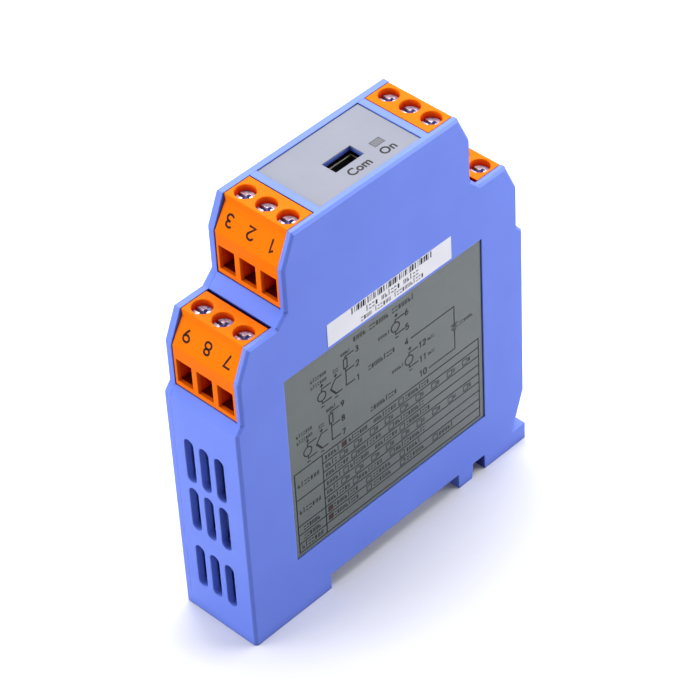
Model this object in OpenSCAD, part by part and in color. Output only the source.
// Signal isolator in a narrow housing for a 35 mm rail.
// X is the width, Y the length from front (-) to rear (+), Z is up from the surface it stands on.

/* [Housing] */
// Overall width, from the cover's face to the right wall's face
width = 18.5; // [18.5:0.5:24]
// Overall length, along the wires
length = 74; // [73:0.5:90]
// Overall height, to the tops of the upper terminals
height = 88; // [87:0.5:100]
// Thickness of the end walls, shelves and floor
wall = 1.6; // [1.4:0.1:1.8]
// Thickness of the right side wall
side_wall = 1.3; // [1.1:0.1:1.4]
// Thickness of the left side cover
cover_t = 1.8; // [1.5:0.1:2]
// How far the cover stands out from the foot below it
cover_out = 0.5; // [0.2:0.1:0.6]
// Thickness of the wall between the upper terminals
top_wall = 1.35; // [1.2:0.05:1.6]
// Bevel along the outline of both side faces
edge_bevel = 0.5; // [0.3:0.1:0.6]

/* [Terminal tiers] */
// How far the lower terminals stand behind the end wall
lower_in = 1.45; // [1:0.05:2]
// Height of the sloping step below the lower terminals
step_rise = 1.7; // [1:0.1:2]
// How far the upper tier stands behind the lower tier, as a share of the length
tier_share = 0.1635; // [0.161:0.0005:0.168]
// How far the upper tier stands above the lower tier
tier_up = 18; // [17.5:0.1:19]
// Depth of the bay that takes a terminal plug, as a share of the length
bay_share = 0.1757; // [0.173:0.0005:0.18]

/* [Terminal plugs] */
// Height of a plug
plug_h = 15.7; // [15.3:0.1:16.2]
// Height of the plug's upright face with the wire entries
face_h = 9.2; // [8.8:0.1:9.6]
// Length of the sloping face, seen from above
slope_run = 2.9; // [2.6:0.1:3.2]
// Height of the upright lip above the plug's sloping face
lip_h = 1.5; // [1.2:0.1:1.8]
// Length of the plug's top, with the sloping face
plug_top = 9.1; // [8.7:0.1:9.3]
// How far the plug's faces stand behind the side walls' edges
face_inset = 0.15; // [0.1:0.05:0.4]
// Height of the plug's low rear end
nose_h = 12; // [11.5:0.1:12.5]
// Gap between a plug and its bay
bay_gap = 0.15; // [0.1:0.05:0.2]
// Gap behind an upper plug's top
upper_gap = 0.2; // [0.15:0.05:0.5]
// Gap behind a lower plug's top
lower_gap = 0.7; // [0.4:0.05:0.8]
// Gap behind a plug's rear end
end_gap = 0.4; // [0.3:0.1:0.5]
// Thickness of the wall between two wire entries
entry_wall = 1.28; // [1.2:0.02:1.6]
// Height of a wire entry
entry_h = 5.2; // [4.8:0.1:5.4]
// Height of the wire entry's lower edge above the bay's floor
entry_z = 1.1; // [1:0.1:1.4]
// Thickness of the plug's face, with a wider room behind it
face_t = 0.9; // [0.7:0.1:1.2]
// Distance of the screws behind the side walls' edge
screw_in = 5.7; // [5.5:0.1:5.9]
// Diameter of the screwdriver hole
screw_hole_d = 4; // [3.9:0.1:4.2]
// Diameter of the screw head
head_d = 3.8; // [3.4:0.1:3.8]
// Height of the screw head
head_h = 1.8; // [1.5:0.1:2]
// Depth of the screw head below the plug's top
head_drop = 1.4; // [1.2:0.1:2]
// Diameter of the screw's shank
screw_d = 2.9; // [2.5:0.1:2.9]

/* [Rail foot] */
// Width of the rail gap, for a 35 mm rail
rail_gap = 35.2; // [35.1:0.1:35.6]
// Depth of the rail gap
rail_h = 3.6; // [3.6:0.1:4]
// Length of the small foot behind the rail gap
small_foot = 4.05; // [3.8:0.05:4.3]
// Gap behind the small foot
foot_gap = 3.3; // [3:0.1:3.6]
// Length of the rear foot
rear_foot_l = 11.65; // [11:0.05:12.3]
// Height of the tab at the rear end
tab_h = 3.85; // [3.85:0.05:4.2]
// How far the rear wall slopes in above the tab
slant_in = 3.4; // [3:0.1:4]
// Height at which the rear wall starts to slope in
slant_z = 13.3; // [12:0.1:15]
// Reach of the fixed hook and of the latch under the rail
hook_reach = 1.3; // [1:0.1:1.5]
// Travel of the latch
latch_travel = 3; // [2:0.1:3]
// Width of the latch's guided flange
latch_w = 10.3; // [9.5:0.1:11]

/* [Vents] */
// Width of a vent slot
vent_w = 2.4; // [1.8:0.1:2.6]
// Height of a vent slot
vent_h = 10.5; // [8:0.1:10.6]
// Sideways place of the middle column of slots
vent_x = -0.05; // [-0.5:0.05:0.5]
// Distance between the columns of slots
vent_pitch = 3.8; // [3.4:0.1:4.2]
// Height of the lowest row's lower ends
vent_low = 7; // [6.5:0.1:8]
// Height of the middle row's lower ends
vent_mid = 21.6; // [21:0.1:22]
// Height of the top row's lower ends
vent_top = 33.6; // [33:0.1:35]

/* [Panels] */
// Depth of the recesses that take the films
recess = 0.5; // [0.3:0.1:0.6]
// Thickness of the films
film_t = 0.25; // [0.15:0.05:0.3]
// Gap around the films
film_gap = 0.1; // [0.05:0.05:0.2]
// Width of the blue bar between an upper terminal and the top film
top_bar = 1.6; // [1.2:0.1:2]
// Distance of the side label from the front face
label_in = 11.9; // [10:0.1:14]
// Distance of the side label from the rear face
label_out = 11.4; // [10:0.1:14]
// Height of the side label's lower edge
label_z = 13.6; // [12:0.1:18]
// How far the side label reaches above the lower terminals' floor
label_over = 3.2; // [1:0.1:3.4]
// Distance of the white sticker from the front face
sticker_in = 22.8; // [20:0.1:26]
// Length of the white sticker
sticker_l = 31.8; // [28:0.1:34]
// Height of the white sticker
sticker_h = 5.1; // [4:0.1:5.5]
// Gap between the side label and the white sticker above it
sticker_gap = 0.8; // [0.5:0.1:2]
// Thickness of the white sticker
sticker_t = 0.1; // [0.05:0.05:0.15]
// Length of the port cut-out
port_l = 7; // [6.6:0.1:7.2]
// Width of the port cut-out
port_w = 3.45; // [3.2:0.05:3.5]
// Place of the port's middle along the length
port_y = -0.35; // [-1:0.05:1]
// Length of the indicator window
window_l = 2.3; // [1.8:0.1:2.6]
// Width of the indicator window
window_w = 1.5; // [1.2:0.1:1.5]
// Distance of the indicator window's middle from the rear bay's wall
window_back = 2; // [1.6:0.05:2.3]

/* [Board] */
// Thickness of the circuit board
board_t = 1.4; // [1.2:0.1:1.6]
// Height of the port's metal shell above the board
shell_w = 3.9; // [3.6:0.1:4.1]
// Length of the port's metal shell along the board's edge
shell_l = 7.7; // [7.4:0.1:8]
// Depth of the port's metal shell
shell_depth = 6.6; // [5.5:0.1:6.6]
// Distance of the port's metal shell below the top wall
shell_back = 1.05; // [0.5:0.05:1.2]
// Sheet thickness of the port's metal shell
shell_t = 0.3; // [0.2:0.05:0.35]
// Diameter of the posts that clamp the board
post_d = 5; // [4.4:0.1:6]
// Distance of the posts from the end faces
post_in = 6.5; // [5:0.1:8]
// Height of the lower posts
post_low = 19.5; // [18:0.1:22]
// Distance of the upper posts below the lower terminals
post_drop = 7; // [6.5:0.1:9]
// Thickness of the header pins
pin_t = 0.95; // [0.8:0.05:1]

/* [Hidden] */
$fn = 48;
eps = 0.01;
poles = 3;

// Tiers: height of the floor, distance behind the end face, length of the bay's open top
lower_z = height - tier_up - plug_h;
upper_z = height - plug_h;
bay_depth = bay_share * length;
upper_in = lower_in + tier_share * length;
lower_back = lower_in + bay_depth + wall;
upper_back = upper_in + bay_depth + wall;
lower_open = plug_top + lower_gap;
upper_open = plug_top + upper_gap;
// Inner faces of the side walls, and the middle between them
left_x = cover_t - width / 2;
right_x = width / 2 - side_wall;
bay_x = (left_x + right_x) / 2;
// Distance between poles: 5.08 mm between walls 15.4 mm apart
pole_spare = 0.16;
pitch = (right_x - left_x - pole_spare) / poles;
entry_w = pitch - entry_wall;
// Side label, white sticker and indicator window
label_l = length - label_in - label_out;
label_h = lower_z + label_over - label_z;
sticker_z = label_z + label_h + sticker_gap;
window_y = length / 2 - upper_back - window_back;
// Rail foot, as distances from the front face
rear_foot = length - rear_foot_l;
rail_end = rear_foot - foot_gap - small_foot;
rail_in = rail_end - rail_gap;
foot_draft = 0.4;
// Gaps of parts that fit in one another, of a screw in its thread and its hole, and of a pin in the board
fit_gap = 0.1;
thread_gap = 0.05;
shank_gap = 0.15;
pin_gap = 0.05;
// Parts of a pole, in the plug's own frame
plug_w = right_x - left_x - 2 * bay_gap;
plug_l = bay_depth - end_gap;
head_seat = plug_h - head_drop - head_h;
cage_spare = 1.08;
cage_w = pitch - cage_spare;
cage_l = 4.4;
cage_wall = 0.6;
cage_gap = 0.1;
cage_roof = 1.3;
riser_t = 0.7;
plug_floor = 0.5;
cage_z = bay_gap + plug_floor;
tongue_z = entry_z + entry_h;
tongue_t = 0.7;
cage_h = tongue_z + tongue_t + fit_gap + cage_roof - cage_z;
socket_t = 1.9;
socket_gap = 0.08;
pin_z = 5;
socket_in = screw_in + cage_l / 2 + cage_gap + riser_t;
// Pin headers
header_side = 0.55;
header_w = plug_w - 2 * header_side;
header_z = 1.3;
header_h = 8.2;
header_l = 0.054 * length;
bend_first = 0.023 * length;
bend_clear = 1.55;
bend_room = length / 2 - upper_in - bay_depth - header_l - bend_first - bend_clear;
bend_step = bend_room / (poles - 1);
tail_over = 0.8;
// Circuit board
board_x = bay_x + pitch - pin_t / 2 - fit_gap - board_t;
port_x = board_x - shell_w / 2;
port_top = height - top_wall - shell_back;
window_x = board_x - window_w / 2;
board_edge_gap = 0.5;
board_in = wall + 2 * board_edge_gap;
board_z = 14.5;
board_top = height - top_wall - board_edge_gap;
post_high = lower_z - post_drop;
post_pin_d = 1.9;
spigot_d = 3.3;
// Latch, from the surface up
latch_z = 0.3;
flange_z = 1.75;
flange_top = 2.9;
latch_gap = 0.15;
flange_over = 1.3;
latch_body_w = latch_w - 2 * flange_over;
stop_l = 2.2;
stop_w = 2.8;
stop_in = 7;

function fy(d) = d - length / 2;

// Steps of one end, from the end wall's top edge to the top of the housing
end_steps = [
    [0, lower_z - step_rise],
    [lower_in, lower_z],
    [lower_in, lower_z + face_h],
    [lower_in + slope_run, lower_z + plug_h],
    [lower_in + lower_open, lower_z + plug_h],
    [upper_in, upper_z],
    [upper_in, upper_z + face_h],
    [upper_in + slope_run, height]
];
last_step = len(end_steps) - 1;
bevel_lap = 1.25;
bevel_ease = 0.85;
bar_over = 1.1;
tub_outline = concat(
    [[0, 0]],
    end_steps,
    [for (i = [last_step : -1 : 0]) [length - end_steps[i][0], end_steps[i][1]]],
    [
        [length, slant_z], [length - slant_in, tab_h],
        [length, tab_h], [length, 0], [rear_foot, 0], [rear_foot, rail_h],
        [rail_end + small_foot, rail_h], [rail_end + small_foot - foot_draft, 0],
        [rail_end, 0], [rail_end, rail_h], [rail_in, rail_h], [rail_in, 0]
    ]
);

// Extrudes a Y-Z outline across the width from x0 to x1
module slab(x0, x1) {
    translate([x0, 0, 0])
        rotate([90, 0, 90])
            linear_extrude(x1 - x0)
                children();
}

// Outline given as distances from the front face
module from_front(points) {
    polygon([for (p = points) [fy(p[0]), p[1]]]);
}

// Angle that the outline turns through at b, negative at an outer corner
function turn(a, b, c) = atan2(cross(b - a, c - b), (b - a) * (c - b));

// Corner of the tub's outline, counted round it
function outline_point(i) = tub_outline[(i + len(tub_outline)) % len(tub_outline)];

// Whether the outline's edge from a to b is bevelled, as all above the foot are
function has_bevel(a, b) = max(a[1], b[1]) > tab_h + eps;

// How far a bevel cut runs past a corner: clear of an outer one, and just over the next cut at an inner one
function past_corner(angle, meets) =
    angle < 0 ? 2 * edge_bevel : meets ? bevel_lap * edge_bevel * tan(angle / 2) : -edge_bevel / 2;

// Bar along one edge of the outline, which cuts the bevel of a plate of thickness t
// Every other bar is a little smaller, so that two bevels and two walls never meet in one point
module bevel_bar(t, i) {
    side = edge_bevel * (i % 2 == 0 ? 1 : bevel_ease) * sqrt(2);
    before = outline_point(i - 1);
    p = outline_point(i);
    q = outline_point(i + 1);
    after = outline_point(i + 2);
    start = past_corner(turn(before, p, q), has_bevel(before, p));
    end = past_corner(turn(p, q, after), has_bevel(q, after));
    translate([t, fy(p[0]), p[1]])
        rotate([atan2(q[1] - p[1], q[0] - p[0]), 0, 0])
            rotate([0, 45, 0])
                translate([-bar_over * side / 2, -start, -side / 2])
                    cube([bar_over * side, norm(q - p) + start + end, side]);
}

// Side plate of thickness t on the plane x = 0, with the first edges of its outer face bevelled one by one
module bevelled_plate(t, edges = len(tub_outline)) {
    if (edges == 0)
        slab(0, t)
            from_front(tub_outline);
    else if (has_bevel(outline_point(edges - 1), outline_point(edges)))
        difference() {
            bevelled_plate(t, edges - 1);
            bevel_bar(t, edges - 1);
        }
    else
        bevelled_plate(t, edges - 1);
}

// Puts a part drawn in a plug's own frame into one of the four bays
module in_bay(tier, end) {
    in = tier == "upper" ? upper_in : lower_in;
    z = tier == "upper" ? upper_z : lower_z;
    mirror([0, end == "rear" ? 1 : 0, 0])
        translate([bay_x, fy(in), z])
            children();
}

module each_bay() {
    for (tier = ["upper", "lower"], end = ["front", "rear"])
        in_bay(tier, end)
            children();
}

module each_pole() {
    for (i = [0 : poles - 1])
        translate([(i - (poles - 1) / 2) * pitch, 0, 0])
            children();
}

// The four posts, as axes along X
module each_post() {
    for (d = [post_in, length - post_in], z = [post_low, post_high])
        translate([0, fy(d), z])
            rotate([0, 90, 0])
                children();
}

// Space for a plug, with a low roof past the open top
module bay_space(open_l) {
    past = 3;
    roof_z = plug_h - wall;
    slab(left_x - bay_x - eps, right_x - bay_x)
        polygon([
            [-past, 0], [bay_depth, 0], [bay_depth, roof_z],
            [open_l, roof_z], [open_l, plug_h + past], [-past, plug_h + past]
        ]);
}

module header_window() {
    translate([-header_w / 2, bay_depth - eps, header_z])
        cube([header_w, wall + 2 * eps, header_h]);
}

// Room for the board and its parts
module main_space() {
    floor_z = rail_h + wall;
    slab(left_x - eps, right_x)
        from_front([
            [wall, wall], [rail_in - wall, wall], [rail_in - wall, floor_z],
            [length - slant_in - wall, floor_z], [length - wall, slant_z],
            [length - wall, lower_z - wall], [length - lower_back, lower_z - wall],
            [length - lower_back, upper_z - wall], [length - upper_back, upper_z - wall],
            [length - upper_back, height - top_wall], [upper_back, height - top_wall],
            [upper_back, upper_z - wall], [lower_back, upper_z - wall],
            [lower_back, lower_z - wall], [wall, lower_z - wall]
        ]);
}

// One upright slot with round ends, cut along Y
module vent_slot() {
    deep = wall + 2 * eps;
    translate([-vent_w / 2, -eps, vent_w / 2])
        cube([vent_w, deep, vent_h - vent_w]);
    for (z = [vent_w / 2, vent_h - vent_w / 2])
        translate([0, -eps, z])
            rotate([-90, 0, 0])
                cylinder(d = vent_w, h = deep);
}

module vent_rows(rows) {
    for (z = rows, i = [-1, 0, 1])
        translate([vent_x + i * vent_pitch, fy(0), z])
            vent_slot();
}

// T-shaped channel for the latch, open below, at both ends and across the foot gap
module latch_channel() {
    x0 = latch_body_w / 2 + latch_gap;
    x1 = latch_w / 2 + latch_gap;
    start = fy(rail_end) - eps;
    run = length - rail_end + 2 * eps;
    translate([-x0, start, -eps])
        cube([2 * x0, run, flange_top + latch_gap]);
    translate([-x1, start, flange_z - latch_gap])
        cube([2 * x1, run, flange_top - flange_z + 2 * latch_gap]);
}

// Post in the channel that stops the latch at both ends of its travel
module latch_stop() {
    translate([-stop_w / 2, fy(length - stop_in), latch_z])
        cube([stop_w, stop_l, flange_top + latch_gap - latch_z + eps]);
}

// Lip that hooks under the rail's front flange
module fixed_hook() {
    slab(-latch_w / 2, latch_w / 2)
        from_front([
            [rail_in - eps, latch_z], [rail_in + hook_reach / 2, latch_z],
            [rail_in + hook_reach, latch_z + hook_reach / 2],
            [rail_in + hook_reach, flange_z + latch_gap], [rail_in - eps, flange_z + latch_gap]
        ]);
}

module right_side() {
    difference() {
        translate([right_x, 0, 0])
            bevelled_plate(side_wall);
        translate([width / 2 - recess, fy(label_in) - film_gap, label_z - film_gap])
            cube([recess + eps, label_l + 2 * film_gap, label_h + 2 * film_gap]);
    }
}

// Left edge of the foot, below the cover
module foot_edge() {
    intersection() {
        slab(cover_out - width / 2, left_x + eps)
            from_front(tub_outline);
        translate([-width / 2, fy(0), 0])
            cube([width, length, tab_h]);
    }
}

module shell_walls() {
    difference() {
        slab(left_x, right_x + eps)
            from_front(tub_outline);
        main_space();
        for (end = ["front", "rear"]) {
            in_bay("upper", end)
                bay_space(upper_open);
            in_bay("lower", end)
                bay_space(lower_open);
        }
        each_bay()
            header_window();
        vent_rows([vent_low, vent_mid, vent_top]);
        mirror([0, 1, 0])
            vent_rows([vent_mid, vent_top]);
    }
}

// Recess and cut-outs of the top wall
film_l = length - 2 * (upper_in + upper_open + top_bar);
film_edge = 0.15;
film_right = right_x - film_edge;
module top_cuts() {
    translate([left_x - eps, -film_l / 2, height - recess])
        cube([film_right - left_x + eps, film_l, recess + eps]);
    translate([port_x - port_w / 2, port_y - port_l / 2, height - top_wall - eps])
        cube([port_w, port_l, top_wall]);
    translate([window_x - window_w / 2 - fit_gap, window_y - window_l / 2 - fit_gap, height - top_wall - eps])
        cube([window_w + 2 * fit_gap, window_l + 2 * fit_gap, top_wall]);
}

// Posts on the right wall: the board sits on the shoulder, the cover's pin goes into the bore
module board_posts() {
    shoulder = board_x + board_t;
    each_post()
        difference() {
            union() {
                translate([0, 0, shoulder])
                    cylinder(d = post_d, h = right_x - shoulder + eps);
                translate([0, 0, board_x + fit_gap])
                    cylinder(d = spigot_d, h = shoulder - board_x);
            }
            cylinder(d = post_pin_d + 2 * fit_gap, h = right_x - side_wall / 2);
        }
}

module housing_tub() {
    color("royalblue") {
        difference() {
            union() {
                right_side();
                shell_walls();
                foot_edge();
            }
            top_cuts();
            latch_channel();
        }
        board_posts();
        latch_stop();
        fixed_hook();
    }
}

module side_cover() {
    pin_past_board = 1.5;
    pin_l = board_t + pin_past_board;
    root = cover_t / 2;
    color("royalblue") {
        difference() {
            translate([left_x, 0, 0])
                mirror([1, 0, 0])
                    bevelled_plate(cover_t);
            translate([-width, fy(-1), -1])
                cube([width, length + 2, tab_h + 1]);
        }
        each_post()
            rotate_extrude()
                polygon([
                    [0, left_x - root], [post_d / 2, left_x - root], [post_d / 2, board_x],
                    [post_pin_d / 2, board_x], [post_pin_d / 2, board_x + pin_l], [0, board_x + pin_l]
                ]);
    }
}

module top_film() {
    z = height - recess;
    color("gainsboro")
        difference() {
            translate([left_x + film_gap, -film_l / 2 + film_gap, z])
                cube([film_right - left_x - 2 * film_gap, film_l - 2 * film_gap, film_t]);
            translate([port_x - port_w / 2, port_y - port_l / 2, z - eps])
                cube([port_w, port_l, film_t + 2 * eps]);
            translate([window_x - window_w / 2, window_y - window_l / 2, z - eps])
                translate([-fit_gap, -fit_gap, 0])
                    cube([window_w + 2 * fit_gap, window_l + 2 * fit_gap, film_t + 2 * eps]);
        }
}

module wiring_label() {
    color("slategray")
        translate([width / 2 - recess, fy(label_in), label_z])
            cube([film_t, label_l, label_h]);
}

module bar_sticker() {
    color("white")
        translate([width / 2, fy(sticker_in), sticker_z])
            cube([sticker_t, sticker_l, sticker_h]);
}

// Clear rod with a flange below the top wall
pipe_flange_t = 0.4;
module light_pipe() {
    flange = 0.4;
    top = height - recess + film_t;
    under = height - top_wall;
    color("lightcyan") {
        translate([window_x - window_w / 2, window_y - window_l / 2, under - eps])
            cube([window_w, window_l, top - under + eps]);
        translate([window_x - window_w / 2 - flange, window_y - window_l / 2 - flange, under - pipe_flange_t])
            cube([window_w + flange, window_l + 2 * flange, pipe_flange_t]);
    }
}

module status_led() {
    led_h = 2;
    color("palegreen")
        translate([board_x - window_w, window_y - window_l / 2, height - top_wall - pipe_flange_t - led_h])
            cube([window_w, window_l, led_h]);
}

module port_shell() {
    color("silver")
        translate([board_x - shell_w, port_y - shell_l / 2, port_top - shell_depth])
            difference() {
                cube([shell_w, shell_l, shell_depth]);
                translate([shell_t, shell_t, shell_t])
                    cube([shell_w - 2 * shell_t, shell_l - 2 * shell_t, shell_depth]);
            }
}

// Insulating insert with a contact tongue
module port_insert() {
    base_h = 1.5;
    tongue = 0.9;
    tongue_l = 5;
    tongue_in = 1.4;
    z = port_top - shell_depth + shell_t;
    color("dimgray")
        translate([board_x - shell_w + shell_t + fit_gap, port_y, z]) {
            inner = shell_w - 2 * shell_t - 2 * fit_gap;
            inner_l = shell_l - 2 * shell_t - 2 * fit_gap;
            translate([0, -inner_l / 2, 0])
                cube([inner, inner_l, base_h]);
            translate([(inner - tongue) / 2, -tongue_l / 2, 0])
                cube([tongue, tongue_l, shell_depth - tongue_in]);
        }
}

// Slide with a nose under the rail's rear flange, a window for the stop and a screwdriver slot
module rail_latch() {
    tail = length - 0.5;
    nose = rail_end - hook_reach;
    clear = 0.2;
    blade_l = 1.8;
    blade_w = 4;
    color("mediumblue")
        difference() {
            union() {
                slab(-latch_body_w / 2, latch_body_w / 2)
                    from_front([
                        [nose + hook_reach / 2, latch_z], [tail, latch_z], [tail, flange_z + eps],
                        [nose, flange_z + eps], [nose, latch_z + hook_reach / 2]
                    ]);
                translate([-latch_w / 2, fy(rail_end + clear), flange_z])
                    cube([latch_w, tail - rail_end - clear, flange_top - flange_z]);
            }
            translate([-stop_w / 2 - clear, fy(length - stop_in - latch_travel - clear), -eps])
                cube([stop_w + 2 * clear, stop_l + latch_travel + 2 * clear, flange_top + 2 * eps]);
            translate([-blade_w / 2, fy(tail - 2 * blade_l), -eps])
                cube([blade_w, blade_l, flange_top + 2 * eps]);
        }
}

// Board outline: wide below, narrow between the headers, with an arm for the lamp
module circuit_board() {
    mid_in = lower_in + bay_depth + header_l + board_edge_gap;
    top_in = upper_in + bay_depth + header_l + board_edge_gap;
    shoulder_z = lower_z - wall - board_edge_gap;
    neck_z = upper_z - wall - board_edge_gap;
    arm_z = upper_z + header_z + header_h + board_edge_gap;
    arm_end = length - upper_back - board_edge_gap;
    color("seagreen")
        difference() {
            slab(board_x, board_x + board_t)
                from_front([
                    [board_in, board_z], [length - board_in, board_z],
                    [length - board_in, shoulder_z], [length - mid_in, shoulder_z],
                    [length - mid_in, neck_z], [length - top_in, neck_z],
                    [length - top_in, arm_z], [arm_end, arm_z], [arm_end, board_top],
                    [top_in, board_top], [top_in, neck_z], [mid_in, neck_z],
                    [mid_in, shoulder_z], [board_in, shoulder_z]
                ]);
            translate([board_x - eps, 0, 0])
                each_post()
                    cylinder(d = spigot_d + 2 * fit_gap, h = board_t + 2 * eps);
            each_bay()
                for (i = [0 : poles - 1])
                    translate([board_x - bay_x - eps, pin_bend(i), pin_z])
                        rotate([0, 90, 0])
                            cylinder(d = pin_t * sqrt(2) + 2 * pin_gap, h = board_t + 2 * eps);
        }
}

// Where a pin turns towards the board: the pole on the board's right side turns first
function pin_bend(i) = bay_depth + header_l + bend_first + (poles - 1 - i) * bend_step;

// Places on the board, as shares of its half length and of its height below the lower terminals
function along_board(share) = share * (length / 2 - board_in);
function up_board(share) = board_z + share * (lower_z - board_z);

// Isolating transformer, in a frame with the board's face at x = 0
core_l = 13;
core_h = 10.4;
core_leg = 3.6;
core_yoke = 2;
bobbin_foot = 0.8;
bobbin_wall = 0.6;
bobbin_flange = 0.7;
bobbin_clear = 1.38;
bobbin_d = board_x - left_x - bobbin_foot - bobbin_clear;
winding_room = 1.7;
core_t = bobbin_d - 2 * winding_room;
winding_in = 0.3;
core_window_h = core_h - 2 * core_yoke;
core_window_l = (core_l - 2 * core_yoke - core_leg) / 2;
bobbin_l = core_leg + 2 * core_window_l - 2 * fit_gap;
winding_h = core_window_h - 2 * bobbin_flange - 2 * fit_gap;

module on_transformer() {
    translate([board_x - bobbin_foot - bobbin_d / 2, 0, up_board(0.46)])
        children();
}

module block(size_x, size_y, size_z) {
    translate([-size_x / 2, -size_y / 2, -size_z / 2])
        cube([size_x, size_y, size_z]);
}

module transformer_core() {
    color("darkslategray")
        on_transformer()
            difference() {
                block(core_t, core_l, core_h);
                for (side = [-1, 1])
                    translate([0, side * (core_leg + core_window_l) / 2, 0])
                        block(core_t + 2 * eps, core_window_l, core_window_h);
            }
}

module transformer_bobbin() {
    hub_x = core_t + 2 * fit_gap;
    hub_y = core_leg + 2 * fit_gap;
    color("black")
        on_transformer() {
            difference() {
                union() {
                    block(hub_x + 2 * bobbin_wall, hub_y + 2 * bobbin_wall, core_window_h - 2 * fit_gap);
                    for (side = [-1, 1])
                        translate([0, 0, side * (winding_h + bobbin_flange) / 2])
                            block(bobbin_d, bobbin_l, bobbin_flange);
                }
                block(hub_x, hub_y, core_window_h);
            }
            for (side = [-1, 1])
                translate([(bobbin_d + bobbin_foot - eps) / 2, 0, side * (winding_h + bobbin_flange) / 2])
                    block(bobbin_foot + eps, bobbin_l, bobbin_flange);
        }
}

module transformer_winding() {
    hub_x = core_t + 2 * fit_gap + 2 * bobbin_wall;
    hub_y = core_leg + 2 * fit_gap + 2 * bobbin_wall;
    color("peru")
        on_transformer()
            difference() {
                block(bobbin_d - 2 * winding_in, bobbin_l - 2 * winding_in, winding_h);
                block(hub_x, hub_y, winding_h + 2 * eps);
            }
}

// Small parts on the board's left face: distance from the middle, height
module on_board(y, z) {
    translate([board_x, y, z])
        rotate([0, -90, 0])
            children();
}

module optocouplers() {
    apart = 14;
    above_floor = 4;
    body = 3.4;
    body_l = 6.5;
    body_w = 4.6;
    stand = 0.5;
    lead = 0.5;
    lead_w = 1;
    lead_h = stand + body / 2;
    color("black")
        for (side = [-1, 1])
            on_board(side * apart / 2, lower_z + above_floor) {
                translate([0, 0, stand + body / 2])
                    block(body_l, body_w, body);
                for (a = [-1, 1], b = [-1, 1])
                    translate([a * body_l / 4, b * (body_w + lead - eps) / 2, lead_h / 2])
                        block(lead_w, lead, lead_h);
            }
}

module capacitors() {
    can_d = 6.3;
    can_h = 7.4;
    base = 6.6;
    base_h = 1.2;
    color("silver")
        for (place = [[-0.67, 0.34], [-0.67, 0.59], [0.61, 0.59]])
            on_board(along_board(place[0]), up_board(place[1])) {
                translate([0, 0, base_h / 2])
                    block(base, base, base_h);
                cylinder(d = can_d, h = base_h + can_h);
            }
}

module power_inductor() {
    base = 7;
    base_h = 1;
    drum_d = 6.6;
    core_d = 4.4;
    drum_h = 4;
    rim = 0.7;
    color("dimgray")
        on_board(along_board(0.61), up_board(0.29)) {
            translate([0, 0, base_h / 2])
                block(base, base, base_h);
            cylinder(d = core_d, h = base_h + drum_h);
            translate([0, 0, base_h + drum_h - rim])
                cylinder(d = drum_d, h = rim);
        }
}

module microcontroller() {
    body = 7;
    body_h = 1.2;
    leads = 9;
    lead_h = 0.3;
    color("black")
        on_board(0, up_board(0.83)) {
            translate([0, 0, lead_h / 2])
                block(leads, leads, lead_h);
            translate([0, 0, lead_h + body_h / 2 - eps])
                block(body, body, body_h);
        }
}

// One pole's hollow: wire entry, room behind the face, cage chamber, screw hole and way out for the contact
module pole_hollow() {
    chamber_w = cage_w + 2 * cage_gap;
    chamber_l = cage_l + riser_t + 3 * cage_gap;
    contact_w = socket_t + 2 * fit_gap;
    shank_d = screw_d + 2 * shank_gap;
    translate([-entry_w / 2, -eps, entry_z])
        cube([entry_w, screw_in, entry_h]);
    translate([-chamber_w / 2, face_inset + face_t, cage_z])
        cube([chamber_w, screw_in - face_inset - face_t, tongue_z - cage_z]);
    translate([-chamber_w / 2, screw_in - cage_l / 2 - cage_gap, cage_z])
        cube([chamber_w, chamber_l, cage_h + cage_gap]);
    translate([-contact_w / 2, screw_in, pin_z - contact_w / 2])
        cube([contact_w, plug_l, contact_w]);
    translate([0, screw_in, cage_z + cage_h])
        cylinder(d = shank_d, h = plug_h);
    translate([0, screw_in, head_seat])
        cylinder(d = screw_hole_d, h = plug_h);
}

module terminal_plug() {
    color("darkorange")
        difference() {
            slab(-plug_w / 2, plug_w / 2)
                polygon([
                    [face_inset, bay_gap], [plug_l, bay_gap], [plug_l, nose_h],
                    [plug_top, nose_h], [plug_top, plug_h],
                    [slope_run + face_inset, plug_h], [slope_run + face_inset, plug_h - lip_h],
                    [face_inset, face_h]
                ]);
            each_pole()
                pole_hollow();
        }
}

// Clamp screws with a combined slot and cross recess
module terminal_screws() {
    slot_w = 0.7;
    slot_depth = 0.9;
    cross_l = 2.2;
    tip_z = tongue_z + tongue_t + fit_gap;
    color("gainsboro")
        each_pole()
            translate([0, screw_in, 0])
                difference() {
                    union() {
                        translate([0, 0, head_seat])
                            cylinder(d = head_d, h = head_h);
                        translate([0, 0, tip_z])
                            cylinder(d = screw_d, h = head_seat - tip_z + eps);
                    }
                    translate([0, 0, head_seat + head_h - slot_depth / 2 + eps]) {
                        block(head_d + 2 * eps, slot_w, slot_depth);
                        block(slot_w, cross_l, slot_depth);
                    }
                }
}

// Rising cages: open along the wire, with a threaded roof and a guide plate towards the wire entry
module wire_clamps() {
    guide_t = 0.4;
    guide_in = face_inset + face_t + cage_gap;
    color("silver")
        each_pole() {
            translate([0, screw_in, cage_z + cage_h / 2])
                difference() {
                    block(cage_w, cage_l, cage_h);
                    translate([0, 0, (cage_wall - cage_roof) / 2])
                        block(cage_w - 2 * cage_wall, cage_l + 2 * eps, cage_h - cage_wall - cage_roof);
                    cylinder(d = screw_d + 2 * thread_gap, h = cage_h);
                }
            translate([-cage_w / 2, guide_in, cage_z])
                cube([cage_w, screw_in - cage_l / 2 - guide_in + eps, guide_t]);
        }
}

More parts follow.
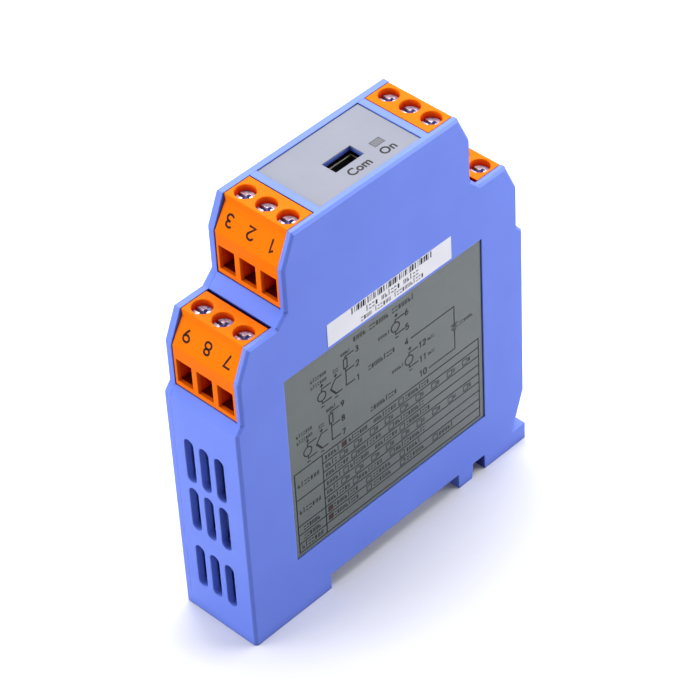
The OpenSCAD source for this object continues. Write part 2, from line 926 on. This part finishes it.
// Contacts: a tongue under the screw, a riser behind the cage and a square socket for the header pin
module contact_sockets() {
    tongue_w = cage_w - 2 * cage_wall - 2 * fit_gap;
    tongue_in = screw_in - cage_l / 2;
    riser_in = socket_in - riser_t;
    socket_l = plug_l - end_gap - riser_in;
    hole = pin_t + 2 * socket_gap;
    low = pin_z - socket_t / 2;
    color("goldenrod")
        each_pole() {
            translate([-tongue_w / 2, tongue_in, tongue_z])
                cube([tongue_w, socket_in - tongue_in, tongue_t]);
            translate([-socket_t / 2, riser_in, low])
                cube([socket_t, riser_t, tongue_z + tongue_t - low]);
            difference() {
                translate([-socket_t / 2, riser_in, low])
                    cube([socket_t, socket_l, socket_t]);
                translate([-hole / 2, socket_in, pin_z - hole / 2])
                    cube([hole, plug_l, hole]);
            }
        }
}

module pin_header() {
    hole = pin_t;
    color("dimgray")
        difference() {
            translate([-header_w / 2 + fit_gap, bay_depth, header_z + fit_gap])
                cube([header_w - 2 * fit_gap, header_l, header_h - 2 * fit_gap]);
            each_pole()
                translate([-hole / 2, bay_depth - eps, pin_z - hole / 2])
                    cube([hole, header_l + 2 * eps, hole]);
        }
}

// Square pins, bent sideways into the board
module header_pins() {
    face_left = board_x - bay_x - tail_over;
    face_right = board_x - bay_x + board_t + tail_over;
    color("goldenrod")
        for (i = [0 : poles - 1]) {
            x = (i - (poles - 1) / 2) * pitch;
            start = socket_in + fit_gap;
            tail = x < face_left ? face_right : face_left;
            translate([x - pin_t / 2, start, pin_z - pin_t / 2])
                cube([pin_t, pin_bend(i) - start + pin_t / 2, pin_t]);
            translate([min(x, tail), pin_bend(i) - pin_t / 2, pin_z - pin_t / 2])
                cube([abs(tail - x), pin_t, pin_t]);
        }
}

housing_tub();
side_cover();
top_film();
wiring_label();
bar_sticker();
light_pipe();
status_led();
port_shell();
port_insert();
rail_latch();
circuit_board();
transformer_core();
transformer_bobbin();
transformer_winding();
optocouplers();
capacitors();
power_inductor();
microcontroller();

for (tier = ["upper", "lower"], end = ["front", "rear"]) {
    place = str("_", tier, "_", end);
    in_bay(tier, end) terminal_plug();
    in_bay(tier, end) terminal_screws();
    in_bay(tier, end) wire_clamps();
    in_bay(tier, end) contact_sockets();
    in_bay(tier, end) pin_header();
    in_bay(tier, end) header_pins();
}
